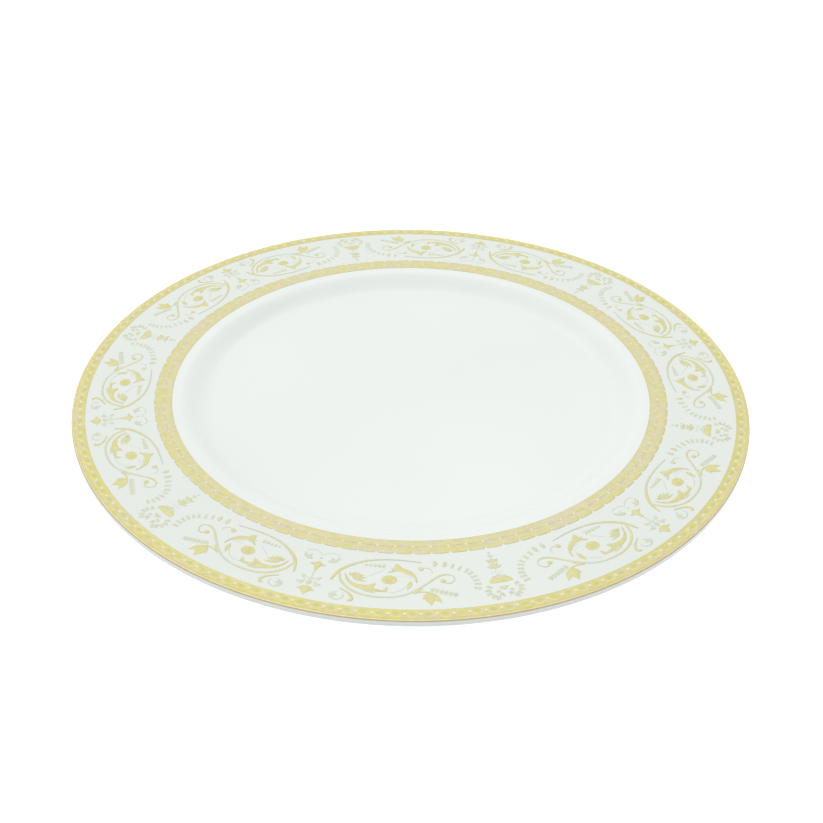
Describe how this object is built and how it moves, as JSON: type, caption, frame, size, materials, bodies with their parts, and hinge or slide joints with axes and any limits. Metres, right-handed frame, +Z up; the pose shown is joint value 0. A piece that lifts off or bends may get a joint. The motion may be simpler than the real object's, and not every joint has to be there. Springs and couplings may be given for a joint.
{
  "type": "dinner plate",
  "caption": "Round white porcelain dinner plate with a shallow well, a broad near-flat rim and a gilded neoclassical border of urns, garlands and scroll medallions.",
  "frame": {"origin": "centre of the foot ring, on the surface that the plate stands on", "axes": "+Z up along the plate's axis, out of the well; +X towards the middle of a junction between two medallions, with the urns at 30, 90, 150 degrees and on"},
  "size_m": [0.2701, 0.2702, 0.0164],
  "materials": {
    "porcelain": "clear glossy glaze over white porcelain",
    "band_gold": "burnished gilding, satin to bright",
    "relief_gold": "pale raised gilding on a gold band",
    "bright_gold": "raised bright gilding",
    "olive_gold": "raised gilding, matt and slightly green",
    "edge_gilt": "polished gilt line",
    "pearl_enamel": "pale raised enamel dots"
  },
  "bodies": {
    "root": {"porcelain_body": "porcelain", "lip_gilt_line": "edge_gilt", "outer_gold_band": "band_gold", "outer_band_arches": "relief_gold", "outer_band_pearls": "pearl_enamel", "inner_gold_band": "band_gold", "inner_band_lobes": "band_gold", "inner_band_pearls": "pearl_enamel", "urn_bowls": "bright_gold", "urn_wreaths": "olive_gold", "urn_pendants": "olive_gold", "leaf_garlands": "olive_gold", "wheat_sprigs": "olive_gold", "lily_flowers": "bright_gold", "scroll_vines": "bright_gold", "medallion_arcs": "bright_gold", "medallion_rosettes": "bright_gold", "acanthus_leaves": "bright_gold", "curled_acanthus": "bright_gold", "palmette_sprays": "olive_gold", "berry_curls": "bright_gold", "corner_curls": "olive_gold", "junction_fleurs": "bright_gold", "junction_flowers": "olive_gold", "junction_lilies": "bright_gold", "base_scrolls": "olive_gold"}
  },
  "joints": []
}
